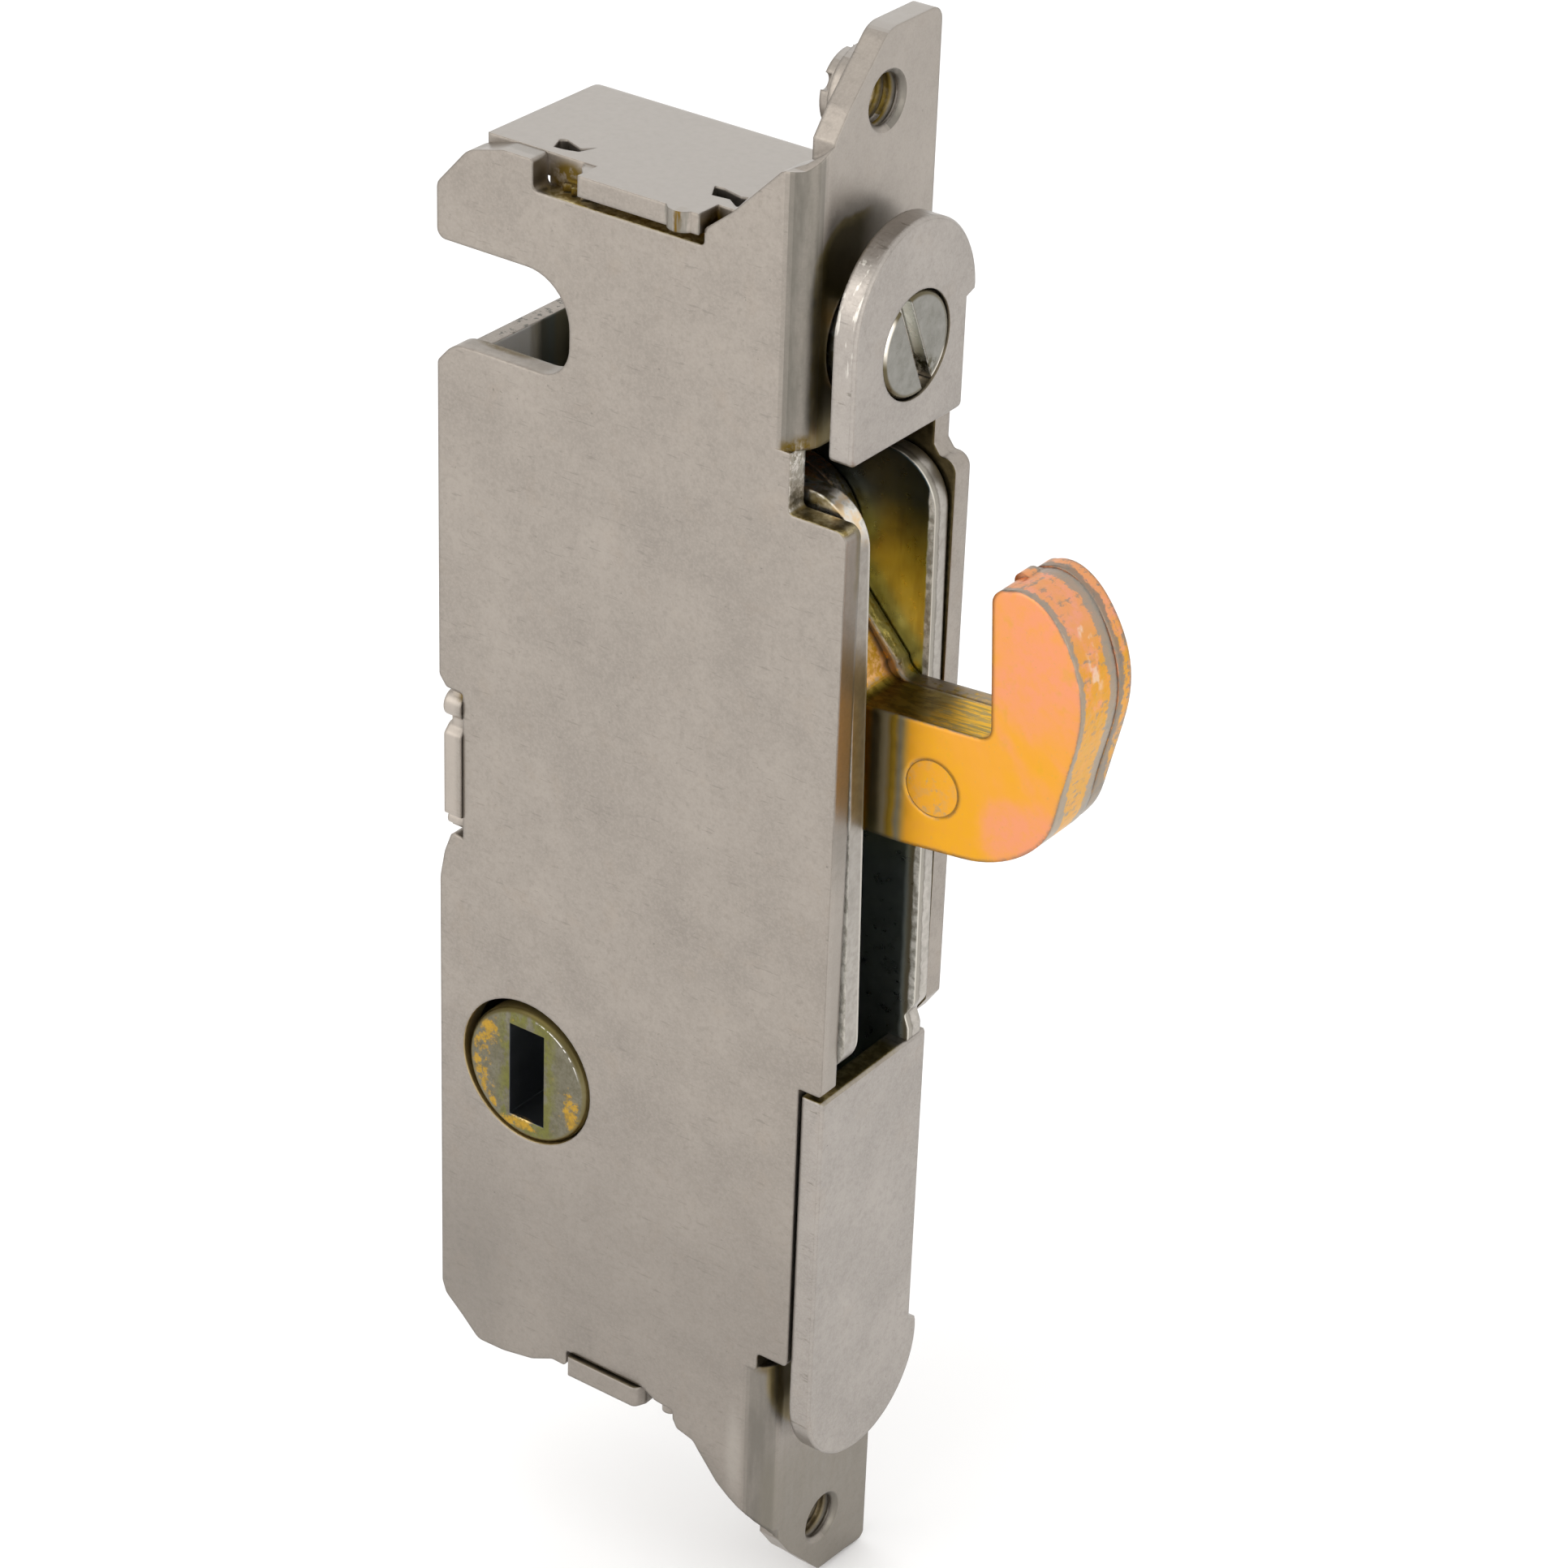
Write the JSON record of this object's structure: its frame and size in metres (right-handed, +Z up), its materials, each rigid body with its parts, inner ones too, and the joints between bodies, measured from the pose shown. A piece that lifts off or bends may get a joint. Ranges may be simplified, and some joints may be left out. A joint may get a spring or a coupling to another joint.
{
  "type": "mortise hook lock",
  "caption": "Slim sheet-metal mortise lock with a swinging hook bolt, a slotted cam hub, a screw-adjusted hook carriage and threaded end ears.",
  "frame": {"origin": "midway between the two ear screw holes, on the front plane of the ears", "axes": "+X out of the door edge, the way the hook points; +Z up, along the line of the ear holes; +Y from the cover with the ears to the case shell"},
  "size_m": [0.0412, 0.0124, 0.102],
  "materials": {
    "case_zinc": "satin warm zinc",
    "face_zinc": "satin warm zinc",
    "wall_zinc": "yellow chromate, glossy",
    "hook_zinc": "yellow chromate, orange",
    "hub_zinc": "yellow chromate, dull",
    "screw_zinc": "bright zinc",
    "pin_steel": "zinc plated",
    "spring_steel": "polished spring steel"
  },
  "bodies": {
    "case": {"near_cover": "case_zinc", "case_shell": "case_zinc", "adjusting_nut": "wall_zinc"},
    "carriage": {"carriage_near_wall": "wall_zinc", "carriage_far_wall": "wall_zinc", "carriage_spacers": "pin_steel", "carriage_bridge": "wall_zinc", "top_face_plate": "face_zinc", "bottom_face_plate": "face_zinc", "screw_sleeve": "wall_zinc", "hook_pivot_pin": "pin_steel", "slide_guide_studs": "pin_steel", "detent_spring": "spring_steel", "spring_rivet": "pin_steel"},
    "screw": {"adjusting_screw": "screw_zinc", "screw_retaining_clip": "spring_steel"},
    "hook": {"hook_thick_plate": "hook_zinc", "hook_thin_plate": "hook_zinc", "hook_rivet": "hook_zinc", "hook_tail_pin": "pin_steel"},
    "slide": {"lift_slide": "wall_zinc"},
    "hub": {"cam_hub": "hub_zinc", "hub_crank_arm": "hub_zinc", "crank_pin": "pin_steel"}
  },
  "joints": [
    {"name": "carriage_slide", "type": "slide", "parent": "case", "child": "carriage", "axis": [1, 0, 0], "range_m": [0, 0.00238]},
    {"name": "screw_turn", "type": "hinge", "parent": "carriage", "child": "screw", "pos_m": [0, -0.00071, 0.03405], "axis": [1, 0, 0], "range_deg": [0, 1080]},
    {"name": "hook_swing", "type": "hinge", "parent": "carriage", "child": "hook", "pos_m": [-0.006, 0, 0.02], "axis": [0, 1, 0], "range_deg": [0, 90]},
    {"name": "slide_lift", "type": "slide", "parent": "carriage", "child": "slide", "axis": [0, 0, 1], "range_m": [0, 0.0106], "deforming": ["detent_spring"]},
    {"name": "hub_turn", "type": "hinge", "parent": "case", "child": "hub", "pos_m": [-0.0184, 0, -0.0182], "axis": [0, -1, 0], "range_deg": [0, 60]}
  ],
  "couplings": [
    {"joint": "screw_turn", "follows": "carriage_slide", "rad_per_m": 7915.8},
    {"joint": "hook_swing", "follows": "hub_turn", "ratio": 1.5},
    {"joint": "slide_lift", "follows": "hub_turn", "m_per_rad": 0.010122}
  ]
}
